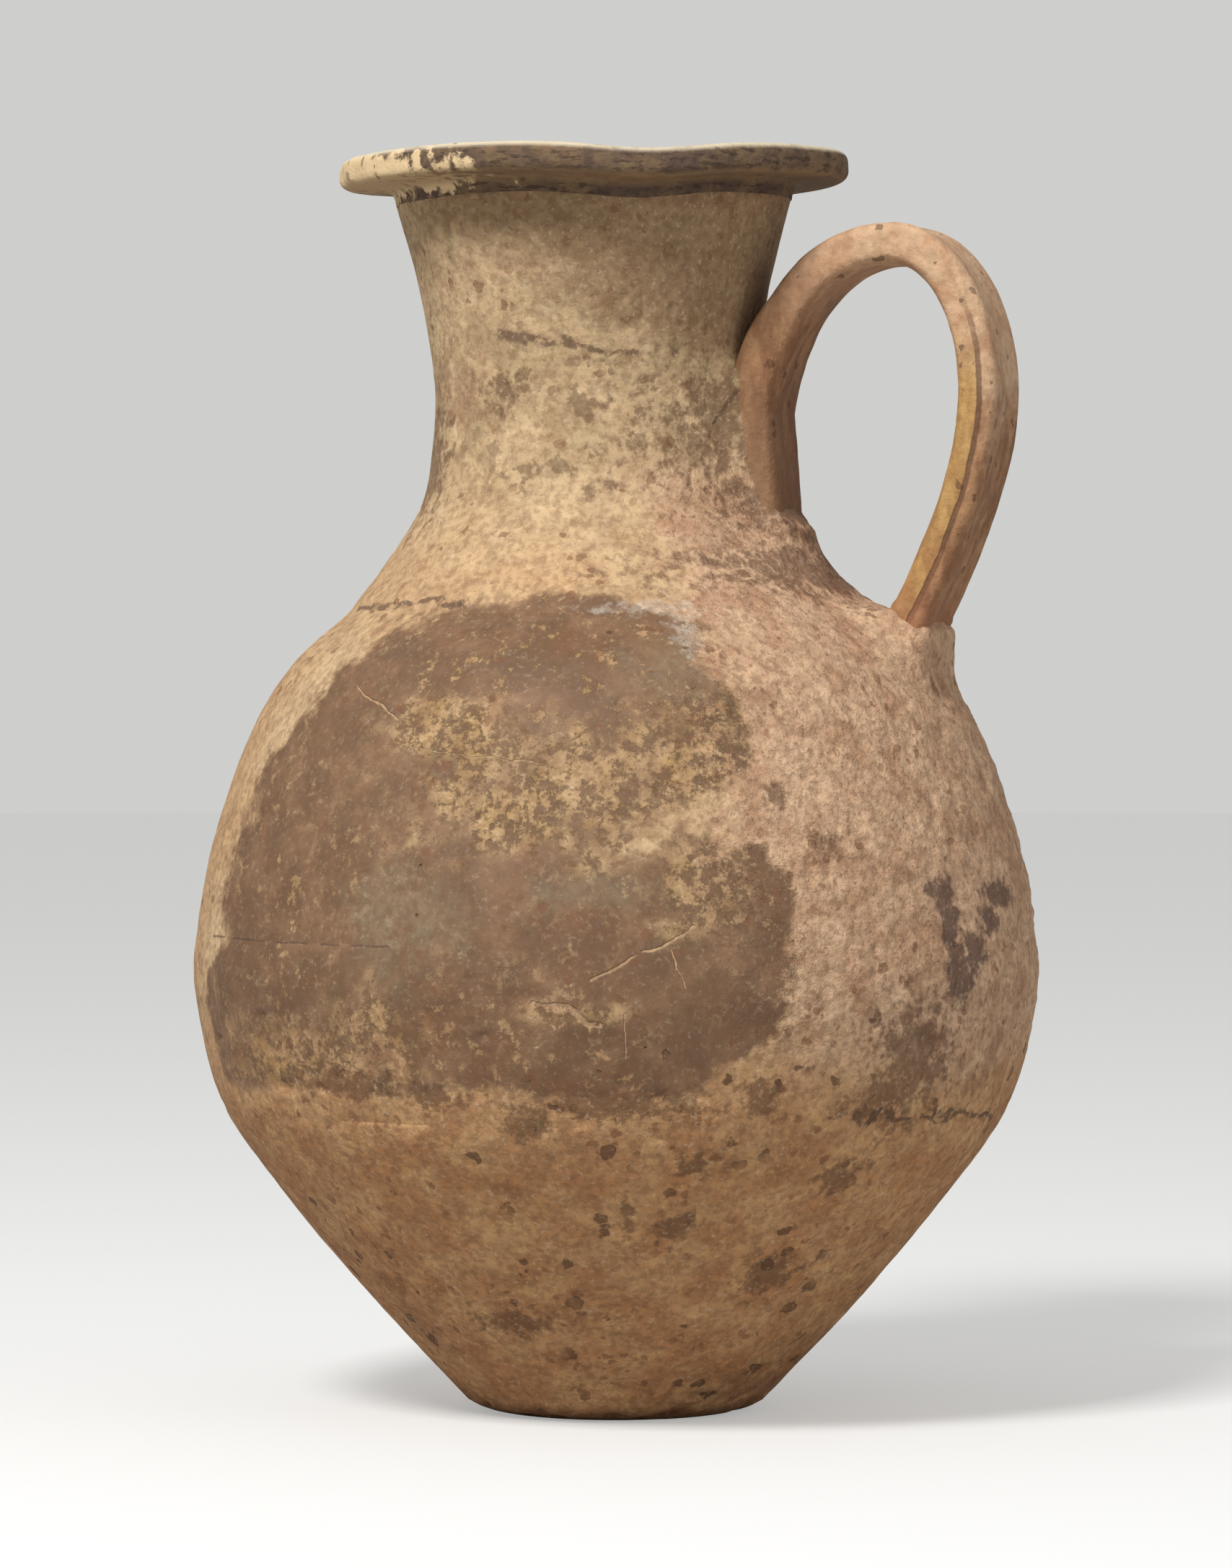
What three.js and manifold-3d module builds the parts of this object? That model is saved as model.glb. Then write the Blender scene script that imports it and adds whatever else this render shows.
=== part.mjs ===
// A wide-mouthed jug of fired clay, put together from the pieces that its potter shaped: a base
// disc, three body rings, a neck and a rim set on one another with bevelled lap joints, and a
// strap handle luted to the neck and to the shoulder with a wad of clay at each root.
// Millimetres, +Z up, +X towards the handle. The origin is the middle of the foot.

import * as THREE from "three";
import { mergeVertices } from "three/addons/utils/BufferGeometryUtils.js";
import Module from "manifold-3d";

// Outside of the wall, from the foot up. Each station is a radius, and a rise from the one below.
const FOOT_RADIUS = 33; // the flat face that the jug stands on
const FOOT_BEVEL_RADIUS = 37.5; // middle of the worn edge round the foot
const FOOT_BEVEL_RISE = 1.1;
const FOOT_EDGE_RADIUS = 41.4; // where the worn edge meets the cone
const FOOT_EDGE_RISE = 1.5;
const CONE_RADIUS = 69.9;
const CONE_RISE = 30.4;
const FLANK_RADIUS = 92.2;
const FLANK_RISE = 27;
const TURN_RADIUS = 109.2; // lower joint, where the cone turns into the belly
const TURN_RISE = 25;
const BELLY_RADIUS = 117; // the widest girth
const BELLY_RISE = 32;
const BAND_RADIUS = 116.3; // middle joint
const BAND_RISE = 16;
const UPPER_BELLY_RADIUS = 111.7;
const UPPER_BELLY_RISE = 25;
const SHOULDER_RADIUS = 100.4;
const SHOULDER_RISE = 32;
const SHOULDER_TOP_RADIUS = 88.8;
const SHOULDER_TOP_RISE = 18;
const COLLAR_RADIUS = 74.3; // neck joint
const COLLAR_RISE = 13;
const NECK_FOOT_RADIUS = 60.3;
const NECK_FOOT_RISE = 15;
const NECK_SPRING_RADIUS = 50.2;
const NECK_SPRING_RISE = 14;
const LOW_WAIST_RADIUS = 46.4;
const LOW_WAIST_RISE = 14;
const WAIST_RADIUS = 44.9; // the narrowest girth of the neck
const WAIST_RISE = 18;
const FLARE_RADIUS = 48.4;
const FLARE_RISE = 26;
const MOUTH_RADIUS = 55; // rim joint
const MOUTH_RISE = 26;

// Walls and joints.
const BASE_THICKNESS = 10;
const BODY_WALL = 7.5;
const NECK_WALL = 6.5;
const BASE_JOINT_RISE = 2.6; // base disc's edge above the worn edge of the foot
const LAP = 5; // how far each joint climbs on its way in through the wall
const SLIP_GAP = 0.4; // layer of slip in a joint between rings, measured up the wall
const LEDGE_WIDTH = 1.9; // how far the shoulder stands proud under the foot of the neck
const LEDGE_HEIGHT = 9;

// Rim.
const RIM_RADIUS = 71;
const RIM_THICKNESS = 8;
const RIM_CLEAR_RISE = 4.8; // underside of the lip above the rim joint
const RIM_EDGE_ROUND = 2.8;
const RIM_UNDERSIDE_FILLET = 3.5;
const RIM_INNER_ROUND = 5;

// Hand-made irregularities.
const NECK_LEAN = 6.4; // the neck sits off the body's axis, away from the handle
const LEAN_RAMP = 25; // height over which the lean sets in
const RIM_TILT = 1.2; // the mouth is higher on the handle's side, and lower opposite
const RIM_WAVES = [
  // bearing round from the handle in degrees, height in mm, half width in degrees
  [-60, -2.1, 17],
  [-105, 0.8, 24],
  [60, -0.9, 25],
  [140, 0.8, 30],
];
const WAVE_RAMP = 24; // height below the lip over which the waves die out

// Handle, a strap whose centreline lies over the X axis.
const STRAP_WIDTH = 31;
const STRAP_THICKNESS = 12.4;
const STRAP_CORNER = 4.6;
const STRAP_GROOVE = 0.9; // depth of the hollow along the strap's outer face
const ROOT_RISE = 21; // start of the root above the neck joint
const ROOT_SINK = 6.6; // the root's centreline starts this far inside the neck's outside
const SPRING_RISE = 55; // height above the neck joint where the strap leaves the neck
const SPRING_OUT = 3.4; // its centreline's distance from the neck's outside there
const ARCH_DROP = 12.4; // top of the arch below the rim joint
const ARCH_OUT = 42; // its distance out from the neck
const REACH_OUT = 67; // the furthest point of the handle's centreline out from the neck
const REACH_DROP = 52; // that point below the rim joint
const LANDING_DROP = 9; // middle of the lower root below the neck joint
const LANDING_SINK = 5; // the strap's end lies this far inside the shoulder's outside
const LANDING_SLANT = 27; // degrees from upright of the strap as it lands
const ARCH_LEAN = 0.12; // how much the rising arm bears outwards, as a share of its climb
const ROOT_GAP = 0.3; // slip between the handle, its wads and the wall

// Wads of clay pressed round the handle's roots.
const UPPER_WAD_HALF_WIDTH = 24;
const UPPER_WAD_HALF_HEIGHT = 26;
const UPPER_WAD_DEPTH = 7;
const UPPER_WAD_RISE = 27; // its middle above the neck joint
const LOWER_WAD_HALF_WIDTH = 25;
const LOWER_WAD_HALF_LENGTH = 19;
const LOWER_WAD_DEPTH = 9;

// Facets.
const FACETS_ROUND = 40;
const RING_STEP = 13; // longest height between two rings of the body's facets
const STRAP_STEPS = 34;
const CORNER_FACETS = 3;

const wasm = await Module();
wasm.setup();

const radians = THREE.MathUtils.degToRad;

// Heights of the stations, added up from the foot.
const outline = [];
let climbed = FOOT_BEVEL_RISE;
for (const [rise, radius] of [
  [FOOT_EDGE_RISE, FOOT_EDGE_RADIUS],
  [CONE_RISE, CONE_RADIUS],
  [FLANK_RISE, FLANK_RADIUS],
  [TURN_RISE, TURN_RADIUS],
  [BELLY_RISE, BELLY_RADIUS],
  [BAND_RISE, BAND_RADIUS],
  [UPPER_BELLY_RISE, UPPER_BELLY_RADIUS],
  [SHOULDER_RISE, SHOULDER_RADIUS],
  [SHOULDER_TOP_RISE, SHOULDER_TOP_RADIUS],
  [COLLAR_RISE, COLLAR_RADIUS],
  [NECK_FOOT_RISE, NECK_FOOT_RADIUS],
  [NECK_SPRING_RISE, NECK_SPRING_RADIUS],
  [LOW_WAIST_RISE, LOW_WAIST_RADIUS],
  [WAIST_RISE, WAIST_RADIUS],
  [FLARE_RISE, FLARE_RADIUS],
  [MOUTH_RISE, MOUTH_RADIUS],
]) {
  climbed += rise;
  outline.push({ height: climbed, radius });
}
const heightOf = (radius) => outline.find((s) => s.radius === radius).height;
const footEdge = outline[0].height;
const baseJoint = footEdge + BASE_JOINT_RISE;
const lowerJoint = heightOf(TURN_RADIUS);
const middleJoint = heightOf(BAND_RADIUS);
const neckJoint = heightOf(COLLAR_RADIUS);
const rimJoint = heightOf(MOUTH_RADIUS);

// Slope of the outline at a station, from its neighbours.
function slopeAt(i) {
  const below = outline[Math.max(i - 1, 0)];
  const above = outline[Math.min(i + 1, outline.length - 1)];
  return (above.radius - below.radius) / (above.height - below.height);
}

// Outside radius of the wall at a height: a cubic between the two stations round it.
function outsideRadius(height) {
  const last = outline.length - 2;
  let i = outline.findIndex((s) => s.height > height) - 1;
  i = i < -1 ? last : THREE.MathUtils.clamp(i, 0, last);
  const span = outline[i + 1].height - outline[i].height;
  const t = (height - outline[i].height) / span;
  return (
    outline[i].radius * (1 + 2 * t) * (1 - t) ** 2 +
    slopeAt(i) * span * t * (1 - t) ** 2 +
    outline[i + 1].radius * t * t * (3 - 2 * t) +
    slopeAt(i + 1) * span * t * t * (t - 1)
  );
}

// The wall thins from the body to the neck over the height of the neck's foot.
function wallAt(height) {
  const blend = THREE.MathUtils.smoothstep(
    height,
    neckJoint - COLLAR_RISE,
    neckJoint + NECK_FOOT_RISE,
  );
  return THREE.MathUtils.lerp(BODY_WALL, NECK_WALL, blend);
}

const outside = (height) => new THREE.Vector2(outsideRadius(height), height);

// The way out of the wall, square to it, in radius and height.
function outwardAt(height) {
  const along = outside(height + 1).sub(outside(height - 1)).normalize();
  return new THREE.Vector2(along.y, -along.x);
}

const offWall = (height, distance) =>
  outside(height).addScaledVector(outwardAt(height), distance);

const inside = (height) => offWall(height, -wallAt(height));

// Heights from low to high in even steps no longer than RING_STEP.
function heights(low, high) {
  const steps = Math.ceil((high - low) / RING_STEP);
  return Array.from({ length: steps + 1 }, (_, i) => low + ((high - low) * i) / steps);
}

// Height above the table of the mouth's waves and tilt at a bearing in radians.
function mouthWave(bearing) {
  let rise = RIM_TILT * Math.cos(bearing);
  for (const [at, height, halfWidth] of RIM_WAVES) {
    const off = THREE.MathUtils.euclideanModulo(
      THREE.MathUtils.radToDeg(bearing) - at + 180,
      360,
    ) - 180;
    rise += height * Math.exp(-((off / halfWidth) ** 2));
  }
  return rise;
}

// How far the jug's axis lies off +Z at a height.
const leanAt = (height) =>
  height < neckJoint ? 0 : -NECK_LEAN * (1 - Math.exp((neckJoint - height) / LEAN_RAMP));

// Turns a true solid of revolution into the hand-made one: a leaning neck and a wavy mouth.
function warp(geometry) {
  const place = geometry.getAttribute("position");
  for (let i = 0; i < place.count; i++) {
    const [x, y, z] = [place.getX(i), place.getY(i), place.getZ(i)];
    const share = THREE.MathUtils.smoothstep(z, rimJoint - WAVE_RAMP, rimJoint + RIM_CLEAR_RISE);
    place.setXYZ(i, x + leanAt(z), y, z + share * mouthWave(Math.atan2(y, x)));
  }
  return geometry;
}

// A profile of radius and height turned round the jug's axis.
const turned = (profile) =>
  warp(new THREE.LatheGeometry(profile, FACETS_ROUND).rotateX(Math.PI / 2));

// The shoulder ends in a narrow ledge that the foot of the neck doesn't cover.
const ledgeAt = (height) =>
  height > neckJoint
    ? 0
    : LEDGE_WIDTH * THREE.MathUtils.smoothstep(height, neckJoint - LEDGE_HEIGHT, neckJoint);

// Points up the outside of the ring between two joints, moved out square to the wall by a gap.
const ringOutside = (low, high, gap = 0) =>
  heights(low + SLIP_GAP, high).map((h) =>
    offWall(h, gap).add(new THREE.Vector2(ledgeAt(h), 0)),
  );

// Profile of a ring between two joints, each of which climbs on its way in.
function ringProfile(low, high) {
  const out = ringOutside(low, high);
  if (ledgeAt(high) > 0) out.push(outside(high));
  const inner = heights(low + SLIP_GAP + LAP, high + LAP).map(inside).reverse();
  return [...out, ...inner, out[0].clone()];
}

function baseDisc() {
  const rim = inside(baseJoint + LAP);
  const floor = BASE_THICKNESS + 1;
  return turned([
    new THREE.Vector2(0, 0),
    new THREE.Vector2(FOOT_RADIUS, 0),
    new THREE.Vector2(FOOT_BEVEL_RADIUS, FOOT_BEVEL_RISE),
    outside(footEdge),
    outside(baseJoint),
    rim,
    new THREE.Vector2(rim.x - (rim.y - floor), floor),
    new THREE.Vector2(FOOT_RADIUS / 2, BASE_THICKNESS),
    new THREE.Vector2(0, BASE_THICKNESS),
  ]);
}

const lowerBody = () => turned(ringProfile(baseJoint, lowerJoint));

const bellyBand = () => turned(ringProfile(lowerJoint, middleJoint));

const shoulder = () => turned(ringProfile(middleJoint, neckJoint));

const neck = () => turned(ringProfile(neckJoint, rimJoint));

// The rim: a flat lip turned out over the neck, with a rounded edge.
function rim() {
  const low = outside(rimJoint + SLIP_GAP);
  const under = rimJoint + RIM_CLEAR_RISE;
  const top = under + RIM_THICKNESS;
  const bore = inside(rimJoint + SLIP_GAP + LAP);
  const shape = new THREE.Path()
    .moveTo(low.x, low.y)
    .quadraticCurveTo(low.x + 1, under, low.x + RIM_UNDERSIDE_FILLET + 1, under)
    .lineTo(RIM_RADIUS - RIM_EDGE_ROUND, under)
    .absarc(RIM_RADIUS - RIM_EDGE_ROUND, under + RIM_EDGE_ROUND, RIM_EDGE_ROUND, -Math.PI / 2, 0)
    .absarc(RIM_RADIUS - RIM_EDGE_ROUND, top - RIM_EDGE_ROUND, RIM_EDGE_ROUND, 0, Math.PI / 2)
    .lineTo(bore.x + RIM_INNER_ROUND, top)
    .quadraticCurveTo(bore.x, top, bore.x, bore.y);
  const points = shape.getPoints(CORNER_FACETS);
  return turned([...points, points[0].clone()]);
}

// Merges a geometry's shared corners and makes it a solid that can be joined and cut.
function solid(geometry) {
  const bare = geometry.clone();
  bare.deleteAttribute("normal");
  bare.deleteAttribute("uv");
  const merged = mergeVertices(bare, 1e-3);
  const made = new wasm.Mesh({
    numProp: 3,
    vertProperties: new Float32Array(merged.getAttribute("position").array),
    triVerts: new Uint32Array(merged.index.array),
  });
  return new wasm.Manifold(made);
}

function geometryOf(manifold) {
  const mesh = manifold.getMesh();
  const geometry = new THREE.BufferGeometry();
  geometry.setAttribute("position", new THREE.BufferAttribute(mesh.vertProperties, mesh.numProp));
  geometry.setIndex(new THREE.BufferAttribute(mesh.triVerts, 1));
  const flat = geometry.toNonIndexed();
  flat.computeVertexNormals();
  return flat;
}

// Everything within the jug's outside, grown by a gap, to cut the handle and its wads with.
function wholeBody(gap) {
  const skin = [
    ...ringOutside(lowerJoint, middleJoint, gap),
    ...ringOutside(middleJoint, neckJoint, gap),
    ...ringOutside(neckJoint, rimJoint, gap),
  ];
  const bottom = new THREE.Vector2(0, skin[0].y);
  const top = new THREE.Vector2(0, skin.at(-1).y);
  return solid(turned([bottom, ...skin, top]));
}

const wallOver = (height) => outsideRadius(height) + leanAt(height);

// A point of the wall under the handle, and the way out of the wall there.
function wallPlace(height) {
  const { x, y } = outwardAt(height);
  return {
    at: new THREE.Vector3(wallOver(height), 0, height),
    outward: new THREE.Vector3(x, 0, y),
  };
}

// The strap's centreline, up the neck, over the arch and down to the shoulder.
function handlePath() {
  const at = (x, z) => new THREE.Vector3(x, 0, z);
  const rootHeight = neckJoint + ROOT_RISE;
  const springHeight = neckJoint + SPRING_RISE;
  const archHeight = rimJoint - ARCH_DROP;
  const reachHeight = rimJoint - REACH_DROP;
  const neckWall = wallOver(springHeight);
  const root = at(wallOver(rootHeight) - ROOT_SINK, rootHeight);
  const spring = at(neckWall + SPRING_OUT, springHeight);
  const arch = at(neckWall + ARCH_OUT, archHeight);
  const reach = at(neckWall + REACH_OUT, reachHeight);
  const { at: wall, outward } = wallPlace(neckJoint - LANDING_DROP);
  const slant = radians(LANDING_SLANT);
  const fall = at(Math.sin(slant), Math.cos(slant));
  const land = wall.clone().addScaledVector(outward, -LANDING_SINK);

  // A cubic's handles are this share of a quarter turn's sides, as in a circle.
  const round = 0.5523;
  const climb = archHeight - springHeight;
  const drop = archHeight - reachHeight;
  const slope = spring.clone().sub(root).normalize();
  const path = new THREE.CurvePath();
  path.add(new THREE.LineCurve3(root, spring));
  path.add(
    new THREE.CubicBezierCurve3(
      spring,
      spring.clone().addScaledVector(slope, climb * round).add(at(climb * ARCH_LEAN, 0)),
      arch.clone().sub(at((arch.x - spring.x) * round, 0)),
      arch,
    ),
  );
  path.add(
    new THREE.CubicBezierCurve3(
      arch,
      arch.clone().add(at((reach.x - arch.x) * round, 0)),
      reach.clone().add(at(0, drop * round)),
      reach,
    ),
  );
  const fallLength = reach.distanceTo(land) / 3;
  path.add(
    new THREE.CubicBezierCurve3(
      reach,
      reach.clone().sub(at(0, fallLength)),
      land.clone().addScaledVector(fall, fallLength),
      land,
    ),
  );
  return path;
}

// Section of the strap, grown by a gap: width along x, thickness along y, hollow on the outer face.
function strapSection(gap) {
  const x = STRAP_WIDTH / 2 + gap;
  const y = STRAP_THICKNESS / 2 + gap;
  const r = STRAP_CORNER;
  const quarter = Math.PI / 2;
  return new THREE.Shape()
    .moveTo(x, r - y)
    .lineTo(x, y - r)
    .absarc(x - r, y - r, r, 0, quarter)
    .absarc(r - x, y - r, r, quarter, 2 * quarter)
    .absarc(r - x, r - y, r, 2 * quarter, 3 * quarter)
    .quadraticCurveTo(0, 2 * STRAP_GROOVE - y, x - r, -y)
    .absarc(x - r, r - y, r, 3 * quarter, 4 * quarter);
}

function strap(gap) {
  const geometry = new THREE.ExtrudeGeometry(strapSection(gap), {
    steps: STRAP_STEPS,
    curveSegments: CORNER_FACETS,
    extrudePath: handlePath(),
    bevelEnabled: false,
  });
  return solid(geometry);
}

// A dome of clay: half an ellipsoid, as deep as its third size, facing a direction from a point.
function wad(halfWidth, halfLength, depth, at, outward) {
  const dome = new THREE.SphereGeometry(1, 24, 16);
  dome.scale(depth, halfWidth, halfLength);
  const turn = Math.atan2(-outward.z, outward.x);
  dome.rotateY(turn).translate(at.x, at.y, at.z);
  return solid(dome);
}

function upperWad() {
  const { at, outward } = wallPlace(neckJoint + UPPER_WAD_RISE);
  return wad(UPPER_WAD_HALF_WIDTH, UPPER_WAD_HALF_HEIGHT, UPPER_WAD_DEPTH, at, outward);
}

function lowerWad() {
  const { at, outward } = wallPlace(neckJoint - LANDING_DROP);
  return wad(LOWER_WAD_HALF_WIDTH, LOWER_WAD_HALF_LENGTH, LOWER_WAD_DEPTH, at, outward);
}

const bodySkin = wholeBody(ROOT_GAP);
const grownStrap = strap(ROOT_GAP);

// A wad without the slivers that its cuts can leave.
function wadGeometry(dome) {
  const bodies = dome.subtract(bodySkin).subtract(grownStrap).decompose();
  return geometryOf(bodies.sort((a, b) => b.volume() - a.volume())[0]);
}

// Fired clay: buff where the wall is bare, browner where the fire smoked it, greyer at the mouth.
const clay = (color, roughness) =>
  new THREE.MeshStandardMaterial({ color, roughness, metalness: 0 });
const buffClay = clay(0xb98d66, 0.9);
const smokedClay = clay(0x8a7358, 0.75);
const crustedClay = clay(0xc9a583, 0.95);
const neckClay = clay(0xb7a07a, 0.85);
const rimClay = clay(0x7c6753, 0.8);
const handleClay = clay(0xa27f5d, 0.85);
const wadClay = clay(0x96765a, 0.9);

const jug = new THREE.Group();
for (const [name, geometry, material] of [
  ["base_disc", baseDisc(), buffClay],
  ["lower_body", lowerBody(), buffClay],
  ["belly_band", bellyBand(), smokedClay],
  ["shoulder", shoulder(), crustedClay],
  ["neck", neck(), neckClay],
  ["rim", rim(), rimClay],
  ["handle", geometryOf(strap(0).subtract(bodySkin)), handleClay],
  ["upper_handle_wad", wadGeometry(upperWad()), wadClay],
  ["lower_handle_wad", wadGeometry(lowerWad()), wadClay],
]) {
  const piece = new THREE.Mesh(geometry, material);
  piece.name = name;
  jug.add(piece);
}

export default jug;
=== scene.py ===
# %% [markdown]
# # A hand-built jug of fired clay
# The jug was built and smoothed by hand, so nothing on it is quite round or level. Each of its
# nine pieces gets a fine mesh of its own here. The pieces of the wall are bent, pitted and
# coloured by the same rules, which read a point's place on the jug, so a stain or a pit runs on
# over a joint as it does on the real pot. The lip and the strap have clays of their own.

import math
from types import SimpleNamespace

import bmesh
import bpy
import numpy as np
from mathutils import Matrix, Vector


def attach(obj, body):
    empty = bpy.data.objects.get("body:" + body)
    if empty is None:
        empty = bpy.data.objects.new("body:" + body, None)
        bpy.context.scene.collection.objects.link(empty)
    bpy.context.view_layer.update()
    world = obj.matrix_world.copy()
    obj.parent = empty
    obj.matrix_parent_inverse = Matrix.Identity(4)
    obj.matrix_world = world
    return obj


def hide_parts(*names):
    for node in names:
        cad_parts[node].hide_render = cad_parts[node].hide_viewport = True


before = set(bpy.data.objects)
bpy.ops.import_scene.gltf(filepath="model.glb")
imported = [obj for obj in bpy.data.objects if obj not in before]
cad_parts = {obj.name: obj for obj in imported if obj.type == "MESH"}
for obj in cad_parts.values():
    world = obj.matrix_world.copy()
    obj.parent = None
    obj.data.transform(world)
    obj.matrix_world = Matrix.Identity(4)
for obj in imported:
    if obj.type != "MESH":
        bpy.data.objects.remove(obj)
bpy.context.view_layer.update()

# %% [markdown]
# ## The wall's outline
# A potter reads a pot by its profile. It is kept as a few stations of height and radius with a
# smooth curve through them, the same ones that the solids have. A curve of few points stays easy
# to change, and it can't get the ripples that a traced outline has.

# %% Profile of the outside, in millimetres
MM = 0.001
STATIONS = [
    # height, radius
    (2.6, 41.4),
    (33.0, 69.9),
    (60.0, 92.2),
    (85.0, 109.2),
    (117.0, 117.0),
    (133.0, 116.3),
    (158.0, 111.7),
    (190.0, 100.4),
    (208.0, 88.8),
    (221.0, 74.3),
    (236.0, 60.3),
    (250.0, 50.2),
    (264.0, 46.4),
    (282.0, 44.9),
    (308.0, 48.4),
    (334.0, 55.0),
]
FOOT_EDGE = STATIONS[0][0]
BASE_JOINT = FOOT_EDGE + 2.6
LOWER_JOINT = STATIONS[3][0]
MIDDLE_JOINT = STATIONS[5][0]
NECK_JOINT = STATIONS[9][0]
RIM_JOINT = STATIONS[15][0]
BODY_WALL = 7.5
NECK_WALL = 6.5


def smoothstep(x, low, high):
    t = np.clip((x - low) / (high - low), 0, 1)
    return t * t * (3 - 2 * t)


def outline_curve():
    """A cubic through the stations, sampled finely enough to be read back in straight steps."""
    h, r = np.array(STATIONS).T
    slope = np.empty_like(r)
    slope[1:-1] = (r[2:] - r[:-2]) / (h[2:] - h[:-2])
    slope[0] = (r[1] - r[0]) / (h[1] - h[0])
    slope[-1] = (r[-1] - r[-2]) / (h[-1] - h[-2])
    fine = np.linspace(h[0] - 3, h[-1] + 12, 1600)
    i = np.clip(np.searchsorted(h, fine) - 1, 0, len(h) - 2)
    span = h[i + 1] - h[i]
    t = (fine - h[i]) / span
    radius = (
        r[i] * (1 + 2 * t) * (1 - t) ** 2
        + slope[i] * span * t * (1 - t) ** 2
        + r[i + 1] * t * t * (3 - 2 * t)
        + slope[i + 1] * span * t * t * (t - 1)
    )
    return fine, radius


CURVE_HEIGHT, CURVE_RADIUS = outline_curve()


def wall_radius(height):
    return np.interp(height, CURVE_HEIGHT, CURVE_RADIUS)


def wall_outward(height):
    """The way out of the wall, square to it, as steps in radius and height."""
    along = np.stack([wall_radius(height + 1) - wall_radius(height - 1), 2 + 0 * height], -1)
    along = along / np.linalg.norm(along, axis=-1, keepdims=True)
    return np.stack([along[..., 1], -along[..., 0]], -1)


print("widest radius", round(float(CURVE_RADIUS.max()), 1), "mm")

# %% [markdown]
# ## The hand in it
# The neck was set a little off the body's axis, and the lip waves. Both are done by moving
# finished points, so that every piece that is bent by the same rule still meets its neighbour.

# %% Lean of the neck and waves of the lip
NECK_LEAN = 6.4
LEAN_RAMP = 25
RIM_TILT = 1.2
RIM_CLEAR_RISE = 4.8
RIM_WAVES = [
    # bearing in degrees, height, half width in degrees
    (-60, -2.1, 17),
    (-105, 0.8, 24),
    (60, -0.9, 25),
    (140, 0.8, 30),
]
WAVE_RAMP = 24


def lean(height):
    return -NECK_LEAN * (1 - np.exp(-np.clip(height - NECK_JOINT, 0, None) / LEAN_RAMP))


def mouth_wave(bearing):
    rise = RIM_TILT * np.cos(bearing)
    for at, height, half_width in RIM_WAVES:
        off = (np.degrees(bearing) - at + 180) % 360 - 180
        rise = rise + height * np.exp(-((off / half_width) ** 2))
    return rise


def warp(points):
    x, y, z = points.T
    share = smoothstep(z, RIM_JOINT - WAVE_RAMP, RIM_JOINT + RIM_CLEAR_RISE)
    return np.stack([x + lean(z), y, z + share * mouth_wave(np.arctan2(y, x))], -1)


# %% [markdown]
# ## Camera and light
# The photograph looks taken from some way off, level with the top of the shoulder, and 17 degrees
# round from square to the handle. A long lens from there keeps the jug's sides nearly parallel.
# One soft lamp high on the left throws the lip's shadow on the neck, as in the photograph. A weak
# lamp on the right and a pale world fill the rest.

# %% Camera
VIEW_TURN = math.radians(17)
DISTANCE = 2.0
EYE_HEIGHT = 0.2206
AIM_HEIGHT = 0.1732
PICTURE_HEIGHT = 0.4348
SENSOR = 36
RIGHT = Vector((math.cos(VIEW_TURN), math.sin(VIEW_TURN), 0))
TOWARDS = Vector((math.sin(VIEW_TURN), -math.cos(VIEW_TURN), 0))


def look(thing, target):
    thing.rotation_euler = (Vector(target) - thing.location).to_track_quat("-Z", "Y").to_euler()


camera_data = bpy.data.cameras.new("camera")
camera_data.sensor_width = SENSOR
camera_data.lens = SENSOR * DISTANCE / PICTURE_HEIGHT
camera = bpy.data.objects.new("camera", camera_data)
bpy.context.collection.objects.link(camera)
camera.location = TOWARDS * DISTANCE + Vector((0, 0, EYE_HEIGHT))
look(camera, (0, 0, AIM_HEIGHT))
bpy.context.scene.camera = camera
print("lens", round(camera_data.lens, 1), "mm")

# %% Lamps, world and floor
bpy.context.scene.view_settings.view_transform = "Standard"

LAMPS_AIM = (0, 0, 0.18)


def lamp(name, across, towards, up, size, watts):
    data = bpy.data.lights.new(name, "AREA")
    data.size = size
    data.energy = watts
    made = bpy.data.objects.new(name, data)
    bpy.context.collection.objects.link(made)
    made.location = RIGHT * across + TOWARDS * towards + Vector((0, 0, up))
    look(made, LAMPS_AIM)


lamp("key", across=-0.75, towards=1.25, up=1.75, size=0.5, watts=42)
lamp("fill", across=1.7, towards=1.0, up=0.7, size=1.2, watts=5)


def node(tree, kind, inputs=None, **settings):
    """A shader node, such as Math for ShaderNodeMath. Its inputs are values or other sockets."""
    made = tree.nodes.new("ShaderNode" + kind)
    for name, value in settings.items():
        setattr(made, name, value)
    for key, value in (inputs or {}).items():
        if isinstance(value, bpy.types.NodeSocket):
            tree.links.new(value, made.inputs[key])
        else:
            made.inputs[key].default_value = value
    return made


BACKDROP = (0.62, 0.62, 0.61, 1)
WORLD_STRENGTH = 0.4


def light_world():
    world = bpy.data.worlds.new("studio")
    bpy.context.scene.world = world
    world.use_nodes = True
    tree = world.node_tree
    tree.nodes.clear()
    path = node(tree, "LightPath")
    light = node(tree, "Background", {"Color": (1, 1, 1, 1), "Strength": WORLD_STRENGTH})
    seen = node(tree, "Background", {"Color": BACKDROP, "Strength": 1})
    camera_ray = path.outputs["Is Camera Ray"]
    mixed = node(
        tree, "MixShader", {0: camera_ray, 1: light.outputs[0], 2: seen.outputs[0]}
    )
    node(tree, "OutputWorld", {0: mixed.outputs[0]})


FLOOR_TONE = (0.55, 0.55, 0.54, 1)
FLOOR_RADIUS = 6
FLOOR_LIFT = 0.58


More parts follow.
